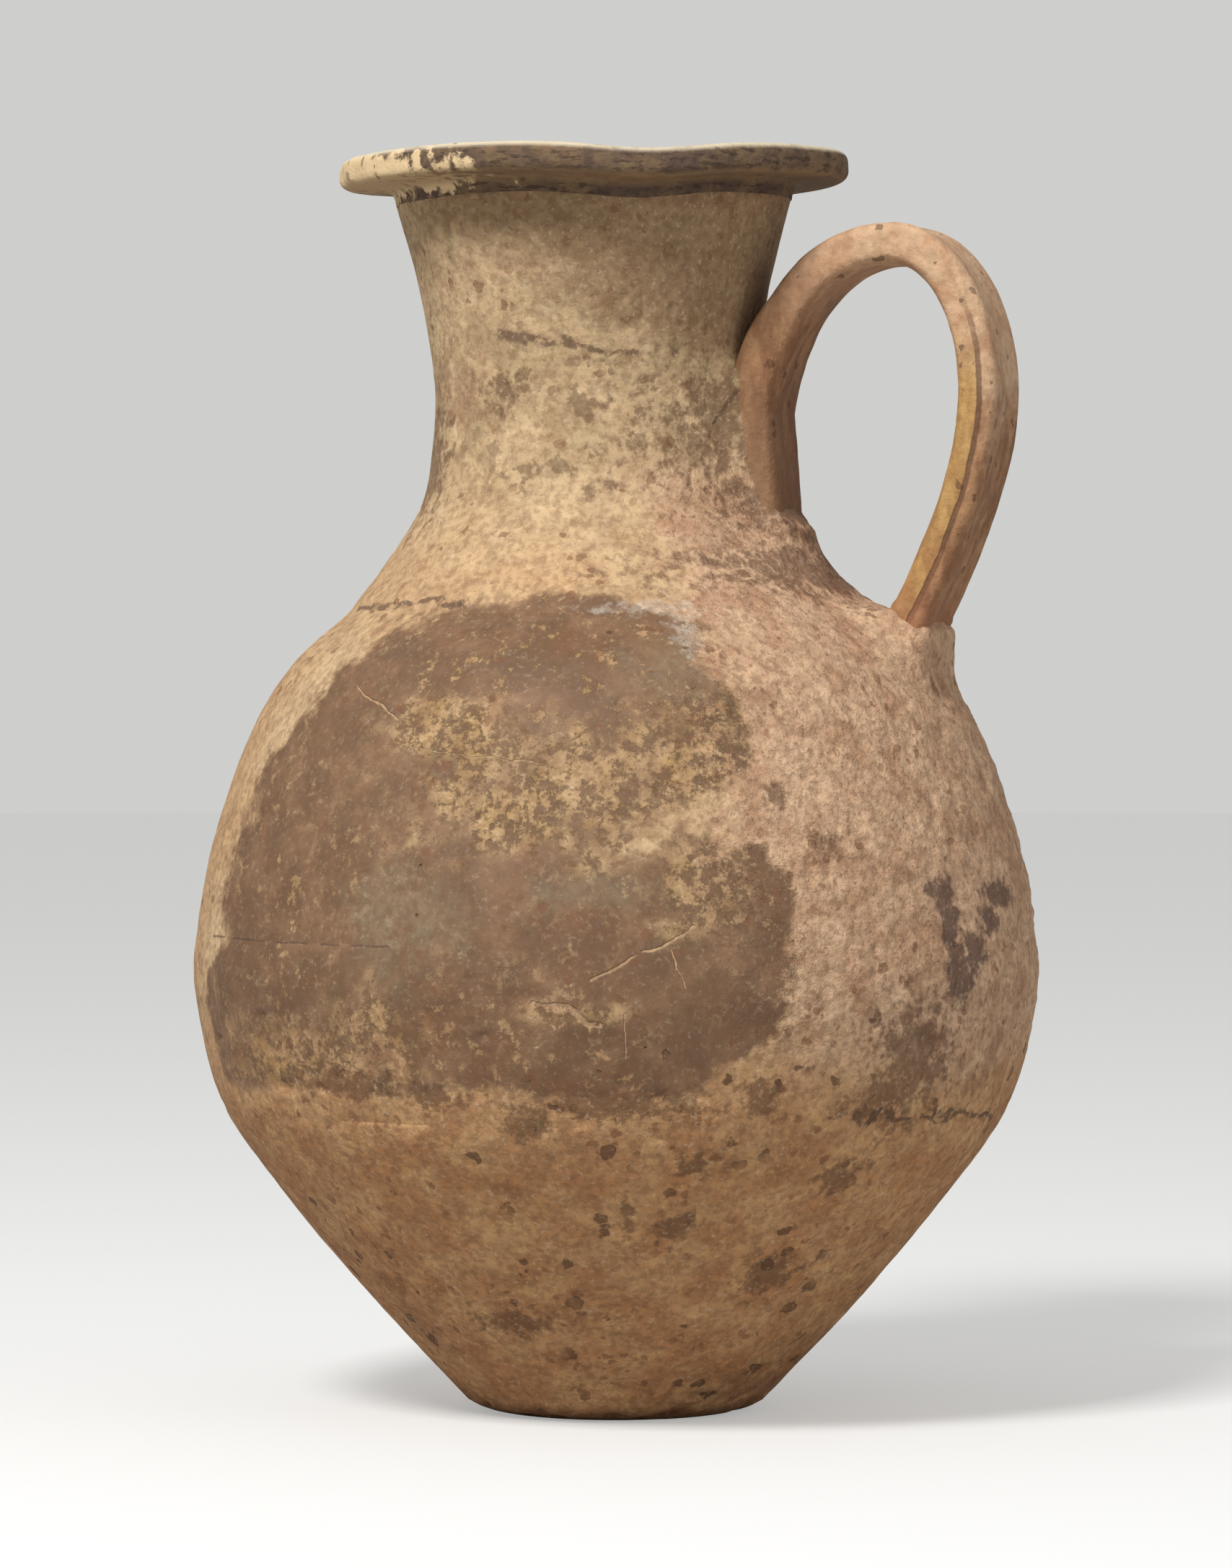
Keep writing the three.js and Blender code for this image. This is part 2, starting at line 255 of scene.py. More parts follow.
def lay_floor():
    """A round floor that the camera sees a little brighter than the lamps leave it."""
    bm = bmesh.new()
    bmesh.ops.create_circle(bm, cap_ends=True, radius=FLOOR_RADIUS, segments=96)
    mesh = bpy.data.meshes.new("floor")
    bm.to_mesh(mesh)
    bm.free()
    floor = bpy.data.objects.new("floor", mesh)
    bpy.context.collection.objects.link(floor)
    material = bpy.data.materials.new("floor")
    material.use_nodes = True
    surface = material.node_tree.nodes["Principled BSDF"]
    surface.inputs["Base Color"].default_value = FLOOR_TONE
    surface.inputs["Roughness"].default_value = 0.9
    surface.inputs["Specular IOR Level"].default_value = 0.1
    surface.inputs["Emission Color"].default_value = BACKDROP
    camera_ray = node(material.node_tree, "LightPath").outputs["Is Camera Ray"]
    lift = node(
        material.node_tree, "Math", {0: camera_ray, 1: FLOOR_LIFT}, operation="MULTIPLY",
    )
    material.node_tree.links.new(lift.outputs[0], surface.inputs["Emission Strength"])
    mesh.materials.append(material)


light_world()
lay_floor()

# %% [markdown]
# ## Relief
# An old pot's skin has three sizes of relief: slow dents left by the hand, a grainy crust of
# lime where it lay in the ground, and pits where grit has fallen out. Modifiers could do this,
# but a rule that is worked out from each point's place gives the same height on both sides of
# a joint. Value noise, a smooth blend of random numbers on a grid, is enough for it.

# %% Noise in space
LATTICE = np.random.default_rng(7).permutation(256)
LATTICE_VALUE = np.random.default_rng(11).random(256)
SEED_SHIFT = 37.7
LATTICE_SHIFT = 1000


def noise(points, size, seed=0):
    """Smooth noise from 0 to 1 with lumps of a size in millimetres."""
    place = points / size + SEED_SHIFT * seed + LATTICE_SHIFT
    cell = np.floor(place).astype(int)
    t = place - cell
    t = t * t * (3 - 2 * t)
    total = 0
    for corner in np.ndindex(2, 2, 2):
        i, j, k = ((cell + corner) & 255).T
        value = LATTICE_VALUE[LATTICE[(LATTICE[(LATTICE[i] + j) & 255] + k) & 255]]
        share = np.prod(np.where(corner, t, 1 - t), axis=1)
        total = total + value * share
    return total


def rough_noise(points, size, seed=0):
    layers = [(size, 0.55), (size / 2.1, 0.29), (size / 4.3, 0.16)]
    return sum(part * noise(points, s, seed + i) for i, (s, part) in enumerate(layers))


def front_turn(x, y):
    """How far round from the front a point is, in radians, to the right."""
    return np.arctan2(x * RIGHT.x + y * RIGHT.y, x * TOWARDS.x + y * TOWARDS.y)


def crust(points):
    """How thickly the grainy crust lies: on the handle's side, from the belly to the shoulder."""
    x, y, z = points.T
    turn = front_turn(x, y)
    uneven = 0.5 * (rough_noise(points, 26, 3) - 0.5)
    side = smoothstep(turn + uneven, 0.08, 0.5) * (1 - smoothstep(turn, 2.1, 2.8))
    return side * smoothstep(z, 82, 112) * (1 - smoothstep(z, 232, 262))


def relief(points):
    """Height in millimetres of the skin against the smooth outline. It is seldom above it."""
    height = -0.35 + 0.9 * (rough_noise(points, 48, 1) - 0.5)
    height = height + (0.3 + 0.9 * crust(points)) * (rough_noise(points, 5.2, 5) - 0.55)
    height = height + (0.12 + 0.55 * crust(points)) * (noise(points, 2.7, 7) - 0.5)
    pit = smoothstep(noise(points, 3.8, 9), 0.74, 0.86) * smoothstep(noise(points, 31, 13), 0.3, 0.55)
    return height - 0.75 * pit


SEAMS = [
    # height, depth, half width, how far it wanders
    (LOWER_JOINT - 0.5, 0.32, 1.0, 2.4),
    (MIDDLE_JOINT, 0.16, 0.7, 1.0),
    (NECK_JOINT + 1.2, 0.45, 1.6, 2.2),
]


def seams(points):
    """Shallow lines where one ring was set on the next, wiped over in places."""
    level = points[:, 2]
    total = 0
    for height, depth, half_width, wander in SEAMS:
        off = level - height - wander * (rough_noise(points, 42, 21) - 0.5)
        kept = smoothstep(noise(points * (1, 1, 0.2), 38, 25), 0.25, 0.62)
        total = total - depth * kept * np.exp(-((off / half_width) ** 2))
    return total


# %% [markdown]
# ## Body rings, neck and rim
# Each of these is a profile turned round the axis: a row of vertices joined into a line, and one
# spin. It comes out truly round, and the relief, the lean and the waves then take that away. The
# outside gets points about every 1.4 mm, for the relief, and the inside far fewer.

# %% Turning a ring
STEPS_ROUND = 540
OUTER_STEP = 1.4
WALL_SLANT = 1.15  # about how much longer the wall is than it is high
INNER_STEP = 5
LAP = 5  # how far a joint climbs on its way in
SHARP_ANGLE = math.radians(50)
RELIEF_WHOLE = 0.3
RELIEF_GONE = 2.2


def wall_at(height):
    share = smoothstep(height, STATIONS[8][0], STATIONS[10][0])
    return BODY_WALL + (NECK_WALL - BODY_WALL) * share


def outer_points(low, high):
    heights = np.linspace(low, high, max(2, round((high - low) / OUTER_STEP * WALL_SLANT)))
    return [(wall_radius(h), h) for h in heights]


def inner_points(low, high):
    heights = np.linspace(low, high, max(2, round((high - low) / INNER_STEP)))
    points = []
    for h in heights:
        out = wall_outward(h)
        wall = wall_at(h)
        points.append((wall_radius(h) - out[0] * wall, h - out[1] * wall))
    return points


def spin_profile(profile, closed=True):
    bm = bmesh.new()
    line = [bm.verts.new((r, 0, h)) for r, h in profile]
    edges = [bm.edges.new(pair) for pair in zip(line, line[1:])]
    if closed:
        edges.append(bm.edges.new((line[-1], line[0])))
    bmesh.ops.spin(
        bm, geom=line + edges, axis=(0, 0, 1), cent=(0, 0, 0), angle=2 * math.pi,
        steps=STEPS_ROUND, use_merge=True,
    )
    bmesh.ops.remove_doubles(bm, verts=bm.verts, dist=0.001)
    bmesh.ops.recalc_face_normals(bm, faces=bm.faces)
    return bm


def finish_piece(bm, name, material, bend=warp):
    """Write the mesh in metres, bent, and hang it on the root in place of the solid it is named for.
    """
    mesh = bpy.data.meshes.new(name + "_skin")
    bm.to_mesh(mesh)
    bm.free()
    flat = np.empty(len(mesh.vertices) * 3)
    mesh.vertices.foreach_get("co", flat)
    points = bend(flat.reshape(-1, 3))
    mesh.vertices.foreach_set("co", (points * MM).ravel())
    mesh.shade_smooth()
    mesh.set_sharp_from_angle(angle=SHARP_ANGLE)
    mesh.materials.append(material)
    piece = bpy.data.objects.new(name + "_skin", mesh)
    bpy.context.collection.objects.link(piece)
    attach(piece, "root")
    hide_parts(name)
    print(name, len(mesh.polygons), "faces")
    return piece


def skin_and_warp(points):
    """Press the relief into the outside, let it fade through the wall, then lean and wave."""
    x, y, z = points.T
    r = np.hypot(x, y)
    deep = np.abs(wall_radius(z) - r)
    share = 1 - smoothstep(deep, RELIEF_WHOLE, RELIEF_GONE)
    out = wall_outward(z)
    rise = share * (relief(points) + seams(points))
    turned = np.stack([x / np.maximum(r, 1), y / np.maximum(r, 1)], -1)
    moved = points.copy()
    moved[:, :2] += turned * (rise * out[:, 0])[:, None]
    moved[:, 2] += rise * out[:, 1]
    return warp(moved)


# %% [markdown]
# ## Colour of the clay
# The clay is buff and orange-brown. In the kiln smoke darkened one side of the belly, and in the
# ground salts paled the other. The large marks are placed one by one, as a restorer's drawing
# would place them: so far across and so far up, as seen from the front. Each is a mask on the
# unrolled wall, ragged at its edge. The masks are shader groups, since each is used many times.

# %% Node groups: unrolling, patches, strokes and specks
UNROLL_RADIUS = 0.1


def new_group(name, inputs, outputs):
    tree = bpy.data.node_groups.new(name, "ShaderNodeTree")
    for label, kind, value in inputs:
        socket = tree.interface.new_socket(label, in_out="INPUT", socket_type=kind)
        socket.default_value = value
    for label, kind in outputs:
        tree.interface.new_socket(label, in_out="OUTPUT", socket_type=kind)
    return tree, tree.nodes.new("NodeGroupInput").outputs, tree.nodes.new("NodeGroupOutput").inputs


def place_group(tree, group, inputs):
    return node(tree, "Group", inputs, node_tree=group).outputs[0]


def calc(tree, operation, *values, clamp=False):
    return node(
        tree, "Math", dict(enumerate(values)), operation=operation, use_clamp=clamp,
    ).outputs[0]


def times(tree, first, second):
    return calc(tree, "MULTIPLY", first, second)


def plus(tree, first, second):
    return calc(tree, "ADD", first, second)


def sway(tree, value, size):
    """Noise from 0 to 1 as a sway of some size about zero."""
    return times(tree, calc(tree, "SUBTRACT", value, 0.5), size)


def vector_calc(tree, operation, *values):
    made = node(tree, "VectorMath", dict(enumerate(values)), operation=operation)
    return made.outputs["Value" if operation in ("LENGTH", "DOT_PRODUCT") else "Vector"]


def scaled(tree, vector, size):
    made = node(tree, "VectorMath", {0: vector, "Scale": size}, operation="SCALE")
    return made.outputs["Vector"]


def ramp(tree, value, low, high, out_low=0.0, out_high=1.0):
    return node(
        tree, "MapRange",
        {"Value": value, "From Min": low, "From Max": high, "To Min": out_low, "To Max": out_high},
        interpolation_type="SMOOTHSTEP",
    ).outputs[0]


def grain(tree, position, scale, detail=3.0, roughness=0.55):
    return node(
        tree, "TexNoise",
        {"Vector": position, "Scale": scale, "Detail": detail, "Roughness": roughness},
    ).outputs[0]


VECTOR = "NodeSocketVector"
FLOAT = "NodeSocketFloat"
PLACE_INPUTS = [("Flat", VECTOR, (0, 0, 0)), ("Position", VECTOR, (0, 0, 0))]


def unroll_group():
    """Where a point is on the wall laid flat: turn from the front times a radius, and height."""
    tree, given, out = new_group("Unroll", [("Position", VECTOR, (0, 0, 0))], [("Flat", VECTOR)])
    parts = node(tree, "SeparateXYZ", {0: given["Position"]}).outputs
    shift = ramp(tree, parts[2], NECK_JOINT * MM, (NECK_JOINT + 45) * MM, 0, NECK_LEAN * MM)
    x = plus(tree, parts[0], shift)
    across = plus(tree, times(tree, x, RIGHT.x), times(tree, parts[1], RIGHT.y))
    nearer = plus(tree, times(tree, x, TOWARDS.x), times(tree, parts[1], TOWARDS.y))
    turn = times(tree, calc(tree, "ARCTAN2", across, nearer), UNROLL_RADIUS)
    flat = node(tree, "CombineXYZ", {0: turn, 2: parts[2]}).outputs[0]
    tree.links.new(flat, out["Flat"])
    return tree


def patch_group():
    """An oval mark with a ragged edge."""
    tree, given, out = new_group(
        "Patch",
        [
            *PLACE_INPUTS,
            ("Centre", VECTOR, (0, 0, 0)),
            ("Size", VECTOR, (0.01, 1, 0.01)),
            ("Ragged", FLOAT, 0.6),
            ("Grain", FLOAT, 90.0),
            ("Soft", FLOAT, 0.15),
        ],
        [("Mask", FLOAT)],
    )
    off = vector_calc(tree, "SUBTRACT", given["Flat"], given["Centre"])
    away = vector_calc(tree, "LENGTH", vector_calc(tree, "DIVIDE", off, given["Size"]))
    uneven = calc(tree, "SUBTRACT", grain(tree, given["Position"], given["Grain"], 5, 0.65), 0.5)
    edge = plus(tree, away, times(tree, times(tree, uneven, 4), given["Ragged"]))
    inner = calc(tree, "SUBTRACT", 1.0, given["Soft"])
    outer = plus(tree, 1.0, given["Soft"])
    tree.links.new(ramp(tree, edge, inner, outer, 1, 0), out["Mask"])
    return tree


def stroke_group():
    """A thin line from one place on the wall to another, such as a scratch or a crack."""
    tree, given, out = new_group(
        "Stroke",
        [
            *PLACE_INPUTS,
            ("Start", VECTOR, (0, 0, 0)),
            ("Finish", VECTOR, (0, 0, 1)),
            ("Width", FLOAT, 0.001),
            ("Wobble", FLOAT, 0.001),
            ("Broken", FLOAT, 0.4),
        ],
        [("Mask", FLOAT)],
    )
    shaky = node(tree, "TexNoise", {"Vector": given["Position"], "Scale": 120, "Detail": 3})
    shake = vector_calc(tree, "SUBTRACT", shaky.outputs["Color"], (0.5, 0.5, 0.5))
    place = vector_calc(tree, "ADD", given["Flat"], scaled(tree, shake, given["Wobble"]))
    run = vector_calc(tree, "SUBTRACT", given["Finish"], given["Start"])
    off = vector_calc(tree, "SUBTRACT", place, given["Start"])
    along = calc(
        tree, "DIVIDE", vector_calc(tree, "DOT_PRODUCT", off, run),
        vector_calc(tree, "DOT_PRODUCT", run, run), clamp=True,
    )
    miss = vector_calc(tree, "SUBTRACT", off, scaled(tree, run, along))
    away = vector_calc(tree, "LENGTH", vector_calc(tree, "MULTIPLY", miss, (1, 0, 1)))
    share = calc(tree, "DIVIDE", away, given["Width"])
    line = ramp(tree, share, 0.5, 1.3, 1, 0)
    less = plus(tree, given["Broken"], 0.12)
    kept = ramp(tree, grain(tree, given["Position"], 260), given["Broken"], less)
    tree.links.new(times(tree, line, kept), out["Mask"])
    return tree


def specks_group():
    """Small dark spots of uneven size, where iron or grit shows."""
    tree, given, out = new_group(
        "Specks",
        [("Position", VECTOR, (0, 0, 0)), ("Scale", FLOAT, 120), ("Cover", FLOAT, 0.2)],
        [("Mask", FLOAT)],
    )
    bent = node(tree, "TexNoise", {"Vector": given["Position"], "Scale": 320, "Detail": 2})
    place = vector_calc(tree, "ADD", given["Position"], scaled(tree, bent.outputs["Color"], 0.004))
    cells = node(tree, "TexVoronoi", {"Vector": place, "Scale": given["Scale"]})
    chance = node(tree, "SeparateColor", {0: cells.outputs["Color"]}).outputs[0]
    size = times(tree, calc(tree, "SUBTRACT", given["Cover"], chance, clamp=True), 1.6)
    spot = calc(tree, "SUBTRACT", size, cells.outputs["Distance"])
    tree.links.new(ramp(tree, spot, 0, 0.07), out["Mask"])
    return tree


UNROLL = unroll_group()
PATCH = patch_group()
STROKE = stroke_group()
SPECKS = specks_group()
print("node groups:", [g.name for g in bpy.data.node_groups])

# %% [markdown]
# ## Placing the marks
# Marks are measured as seen from the front, in millimetres across from the body's axis and up
# from the foot. A mark near the side looks narrow there, so its width is spread again by the
# slant of the wall.

# %% The marks, in millimetres
SMOKE = [
    # across, up, half width, half height
    (-32, 199, 62, 23), (-80, 147, 34, 54), (-14, 124, 62, 32), (20, 132, 27, 33),
    (-52, 168, 54, 42), (-5, 212, 29, 12), (8, 190, 30, 22), (-104, 112, 9, 22),
]
WORN = [
    (-10, 172, 44, 15), (28, 180, 19, 18), (-86, 101, 22, 9), (-46, 190, 17, 8),
    (-12, 116, 12, 3), (24, 150, 12, 16), (-66, 108, 12, 12),
]
ASH = [(22, 205, 17, 9), (-58, 140, 14, 14), (-40, 74, 7, 6), (-8, 148, 16, 5)]
SCUFFS = [(18, 217, 3, 7), (9, 222, 12, 1.6)]
NECK_SPOTS = [(-16, 272, 30, 22)]
BLOTCHES = [
    (80, 101, 9, 15), (72, 92, 6, 7), (-23, 86, 5, 4), (3, 60, 1.5, 5),
    (41, 43, 6, 6), (16, 58, 4.5, 4.5), (38, 93, 5, 5), (-31, 281, 4, 5),
    (-6.8, 254, 2.6, 1.7), (-0.6, 255.4, 2.8, 1.6), (56, 160, 3.6, 3), (42, 172, 2.6, 3),
    (-70, 96, 14, 3.5), (-2, 91, 22, 3), (-48, 93, 9, 3), (45, 272, 9, 16),
    (52, 250, 7, 9), (-58, 262, 2.5, 14), (70, 232, 14, 6), (-28, 30, 12, 3),
    (20, 74, 4, 3), (60, 70, 5, 4),
]
SCRATCHES = [
    # from across, up, to across, up, half width, wobble
    (-7, 124, 21, 138.5, 0.42, 4),
    (14.5, 133, 18, 123, 0.28, 4),
    (-70, 201, -58, 192, 0.32, 3),
    (-21, 118, -4, 113.5, 0.8, 8),
    (-55, 185, -20, 181, 0.22, 4),
    (2, 104, 3, 116, 0.22, 3),
]
DARK_LINES = [
    (56, 89, 103, 84, 1.1, 14),
    (-31, 296, -24, 294, 2.4, 8),
    (-27, 295, -11, 292.5, 1.4, 9),
    (-11, 293, 6, 291, 0.7, 9),
    (43, 307, 26, 269, 0.8, 6),
    (-75, 222, -42, 223.5, 1.1, 8),
    (-110, 132.8, -60, 132.6, 0.3, 1),
]
STAINS = [
    # across, up, half width, half height
    (87.5, 146, 3.2, 5), (90, 136, 2.6, 7), (93, 124, 4.4, 8), (104, 145, 3.8, 3.6),
    (101, 138, 2.6, 4), (97, 130, 3, 5),
]


def on_wall(across, up):
    """The place of a mark on the unrolled wall, and how much its width is spread there."""
    radius = float(wall_radius(up))
    centre = float(lean(np.array(up))) * RIGHT.x
    share = max(-0.97, min(0.97, (across - centre) / radius))
    spread = 1 / (radius * math.sqrt(1 - share * share))
    return (UNROLL_RADIUS * math.asin(share), 0, up * MM), spread * UNROLL_RADIUS


def tone(code):
    """A colour written as six hex digits, turned into Blender's linear values."""
    parts = [int(code[i : i + 2], 16) / 255 for i in (0, 2, 4)]
    return (*[((c + 0.055) / 1.055) ** 2.4 if c > 0.04 else c / 12.92 for c in parts], 1)


def blend(tree, share, first, second):
    """Two colours mixed. The node's sockets 6, 7 and 2 are the ones for colour."""
    return node(
        tree, "Mix", {0: share, 6: first, 7: second}, data_type="RGBA", blend_type="MIX",
    ).outputs[2]


def lay_over(tree, colour, over, mask, strength):
    """Lay a second colour over the first where the mask is, at most at this strength."""
    return blend(tree, times(tree, mask, strength), colour, over)


def patches(tree, here, marks, ragged, grain_scale, soft):
    """All the ovals of a list as one mask."""
    total = 0.0
    for across, up, half_width, half_height in marks:
        centre, spread = on_wall(across, up)
        mask = place_group(tree, PATCH, {
            "Flat": here.flat, "Position": here.position, "Centre": centre,
            "Size": (half_width * spread, 1, half_height * MM),
            "Ragged": ragged, "Grain": grain_scale, "Soft": soft,
        })
        total = calc(tree, "MAXIMUM", total, mask)
    return total


def strokes(tree, here, lines, broken=0.36):
    """All the thin lines of a list as one mask."""
    total = 0.0
    for from_across, from_up, to_across, to_up, half_width, wobble in lines:
        mask = place_group(tree, STROKE, {
            "Flat": here.flat, "Position": here.position,
            "Start": on_wall(from_across, from_up)[0], "Finish": on_wall(to_across, to_up)[0],
            "Width": half_width * MM, "Wobble": wobble * MM, "Broken": broken,
        })
        total = calc(tree, "MAXIMUM", total, mask)
    return total


# %% [markdown]
# ## The clays
# The wall's clay is built in layers, one function each. Its ground colour goes from orange-brown
# at the foot to cream at the neck. Crust, smoke, wear, spots and scratches are laid over it,
# about in the order in which the pot got them.

# %% Tones of the wall
ORANGE_CLAY = tone("b58256")
PALE_ORANGE = tone("c99c6c")
BUFF = tone("c9a479")
OLIVE_CREAM = tone("bba27b")
NECK_CREAM = tone("d2b48c")
CRUST = tone("dab491")
PINK_CRUST = tone("c49a79")
SMOKED = tone("654c39")
WARM_SMOKE = tone("826349")
OCHRE = tone("bb9459")
ASH_GREY = tone("857a62")
SCUFF_WHITE = tone("d9cfbf")
DARK_BROWN = tone("4d3526")
RUST = tone("7a4f34")
SCRATCH = tone("c4a07a")
NECK_SPOT = tone("66543c")
LINE_BROWN = tone("4a3830")
STAIN_BROWN = tone("5d4a45")
# The colour of the painted shadow of the lip on the neck:
NECK_SHADE = tone("7c6044")
PORE_BROWN = tone("6a4c36")
PALE_GRIT = tone("ead2b0")
DUSKY = tone("80583e")


# %% Ground colour and crust
def read_place(tree, position):
    """What every layer reads: the place on the wall, and noise of three sizes."""
    flat = place_group(tree, UNROLL, {"Position": position})
    parts = node(tree, "SeparateXYZ", {0: flat}).outputs
    here = SimpleNamespace(position=position, flat=flat, turn=parts[0], up=parts[2])
    here.slow = grain(tree, position, 16, 4)
    here.middle = grain(tree, position, 75, 5, 0.6)
    here.fine = grain(tree, position, 420, 4, 0.65)
    here.wavy_up = plus(tree, here.up, sway(tree, here.slow, 0.06))
    return here


def ground_colour(tree, here):
    lower = blend(tree, ramp(tree, here.middle, 0.38, 0.64), ORANGE_CLAY, PALE_ORANGE)
    upper = blend(tree, ramp(tree, here.slow, 0.4, 0.62), NECK_CREAM, BUFF)
    mottled_neck = blend(tree, ramp(tree, here.middle, 0.4, 0.62), OLIVE_CREAM, NECK_CREAM)
    colour = blend(tree, ramp(tree, here.wavy_up, 0.07, 0.135), lower, upper)
    return blend(tree, ramp(tree, here.wavy_up, 0.235, 0.275), colour, mottled_neck)


def crust_mask(tree, here):
    ragged_turn = plus(tree, here.turn, sway(tree, here.middle, 0.05))
    starts = ramp(tree, ragged_turn, 0.012, 0.04)
    crusted = times(tree, starts, ramp(tree, here.turn, 0.21, 0.28, 1, 0))
    crusted = times(tree, crusted, ramp(tree, here.wavy_up, 0.088, 0.112))
    return times(tree, crusted, ramp(tree, here.wavy_up, 0.24, 0.265, 1, 0))


def lay_crust(tree, here, colour):
    crust_tone = blend(tree, ramp(tree, here.middle, 0.42, 0.66), CRUST, PINK_CRUST)
    return blend(tree, here.crusted, colour, crust_tone)


# %% [markdown]
# The smoke mark is a joined set of ovals, cut off level a little over the belly's lower seam. It
# is thinner where the wall was rubbed and where its skin flaked, and a paler ochre shows there.

# %% Smoke and wear
def smoke_masks(tree, here):
    """The whole smoke mark, and what is left of it."""
    level_edge = plus(tree, here.up, sway(tree, here.middle, 0.012))
    smoke = patches(tree, here, SMOKE, 0.3, 48, 0.1)
    smoke = times(tree, smoke, ramp(tree, level_edge, 0.0905, 0.0945))
    worn = patches(tree, here, WORN, 1.1, 105, 0.55)
    worn = times(tree, worn, ramp(tree, grain(tree, here.position, 240, 7, 0.78), 0.4, 0.53))
    flaked = ramp(tree, grain(tree, here.position, 210, 7, 0.75), 0.53, 0.6)
    flaked = times(tree, flaked, ramp(tree, here.slow, 0.36, 0.56))
    bare = calc(tree, "MAXIMUM", times(tree, worn, 0.8), times(tree, flaked, 0.55))
    return smoke, times(tree, smoke, calc(tree, "SUBTRACT", 1.0, bare))


def lay_smoke(tree, here, colour):
    under = blend(tree, ramp(tree, here.middle, 0.35, 0.6), OCHRE, BUFF)
    colour = lay_over(tree, colour, under, here.smoke, 0.6)
    smoke_tone = blend(tree, ramp(tree, here.middle, 0.4, 0.66), SMOKED, WARM_SMOKE)
    ash = patches(tree, here, ASH, 0.5, 70, 0.5)
    smoke_tone = lay_over(tree, smoke_tone, ASH_GREY, ash, 0.5)
    colour = lay_over(tree, colour, smoke_tone, here.smoke_left, 0.93)
    scuffs = patches(tree, here, SCUFFS, 1.4, 300, 0.6)
    return lay_over(tree, colour, SCUFF_WHITE, scuffs, 0.42)


# %% Spots and marks
def spot_mask(tree, here):
    """Dark spots, denser below the belly."""
    cover = plus(tree, 0.1, times(tree, ramp(tree, here.wavy_up, 0.115, 0.08), 0.22))
    spots = place_group(tree, SPECKS, {"Position": here.position, "Scale": 165, "Cover": cover})
    return times(tree, spots, ramp(tree, grain(tree, here.position, 30), 0.4, 0.55))


def lay_spots(tree, here, colour):
    stain = ramp(tree, grain(tree, here.position, 34, 6, 0.68), 0.56, 0.66)
    colour = lay_over(tree, colour, RUST, stain, 0.4)
    pore = ramp(tree, grain(tree, here.position, 560, 3, 0.7), 0.58, 0.66)
    colour = lay_over(tree, colour, RUST, times(tree, pore, here.crusted), 0.5)
    small = place_group(tree, SPECKS, {"Position": here.position, "Scale": 300, "Cover": 0.36})
    small = times(tree, small, ramp(tree, grain(tree, here.position, 44), 0.42, 0.58))
    colour = lay_over(tree, colour, RUST, small, 0.62)
    colour = lay_over(tree, colour, DARK_BROWN, here.spots, 0.75)
    neck_spots = ramp(tree, grain(tree, here.position, 110, 4, 0.6), 0.57, 0.62)
    neck_spots = times(tree, neck_spots, patches(tree, here, NECK_SPOTS, 0.3, 60, 0.4))
    return lay_over(tree, colour, NECK_SPOT, neck_spots, 0.6)


def lay_marks(tree, here, colour):
    blotches = patches(tree, here, BLOTCHES, 1.1, 210, 0.5)
    colour = lay_over(tree, colour, DARK_BROWN, blotches, 0.6)
    colour = lay_over(tree, colour, LINE_BROWN, strokes(tree, here, DARK_LINES), 0.75)
    stains = patches(tree, here, STAINS, 0.8, 230, 0.3)
    colour = lay_over(tree, colour, STAIN_BROWN, stains, 0.82)
    return lay_over(tree, colour, SCRATCH, here.scratched, 0.85)


# %% [markdown]
# The lip's shadow is painted on the neck under it, reaching lower on the neck's right side, and
# the foot is darker. Dirt darkens the finest pores. The bump follows the same masks as the colour,
# since the smoked clay is smoother and the crusted clay is gritty.

# %% Shades, and the whole skin
def lay_shades(tree, here, colour):
    # Painted shadow of the lip on the neck, reaching lower on the neck's right side.
    round_swing = calc(tree, "SINE", calc(tree, "DIVIDE", here.turn, UNROLL_RADIUS))
    slanted = plus(tree, here.wavy_up, times(tree, round_swing, 0.03))
    shade = times(tree, ramp(tree, slanted, 0.298, 0.32), ramp(tree, here.up, 0.262, 0.288))
    colour = lay_over(tree, colour, NECK_SHADE, shade, 0.6)
    # Darker towards the bottom of the foot.
    foot = ramp(tree, plus(tree, here.up, times(tree, here.middle, 0.01)), 0.012, 0.006)
    colour = lay_over(tree, colour, RUST, foot, 0.55)
    colour = blend(tree, ramp(tree, here.fine, 0.36, 0.6, 0.42, 0), colour, PORE_BROWN)
    pale_grit = ramp(tree, grain(tree, here.position, 650, 4, 0.7), 0.54, 0.68)
    pale_grit = times(tree, pale_grit, ramp(tree, here.smoke_left, 0, 1, 0.3, 0.14))
    colour = blend(tree, pale_grit, colour, PALE_GRIT)
    dusky = ramp(tree, grain(tree, here.position, 130, 6, 0.7), 0.4, 0.6, 0.26, 0)
    return blend(tree, dusky, colour, DUSKY)


def skin_finish(tree, here):
    """Roughness, and the height that the bump reads."""
    rough = ramp(tree, here.smoke_left, 0, 1, 0.9, 0.62)
    gritty = ramp(tree, here.crusted, 0, 1, 0.6, 1.7)
    gritty = times(tree, gritty, ramp(tree, here.smoke_left, 0, 1, 1, 0.4))
    coarse = grain(tree, here.position, 260, 5, 0.7)
    height = times(tree, plus(tree, coarse, times(tree, here.fine, 0.5)), gritty)
    sunk = times(tree, calc(tree, "MAXIMUM", here.spots, here.scratched), 0.6)
    return rough, calc(tree, "SUBTRACT", height, sunk)


def lay_skin(tree, position):
    """Colour, roughness and height of the wall's skin at each place."""
    here = read_place(tree, position)
    here.crusted = crust_mask(tree, here)
    here.smoke, here.smoke_left = smoke_masks(tree, here)
    here.spots = spot_mask(tree, here)
    here.scratched = strokes(tree, here, SCRATCHES, 0.3)
    colour = ground_colour(tree, here)
    for layer in (lay_crust, lay_smoke, lay_spots, lay_marks, lay_shades):
        colour = layer(tree, here, colour)
    return colour, *skin_finish(tree, here)


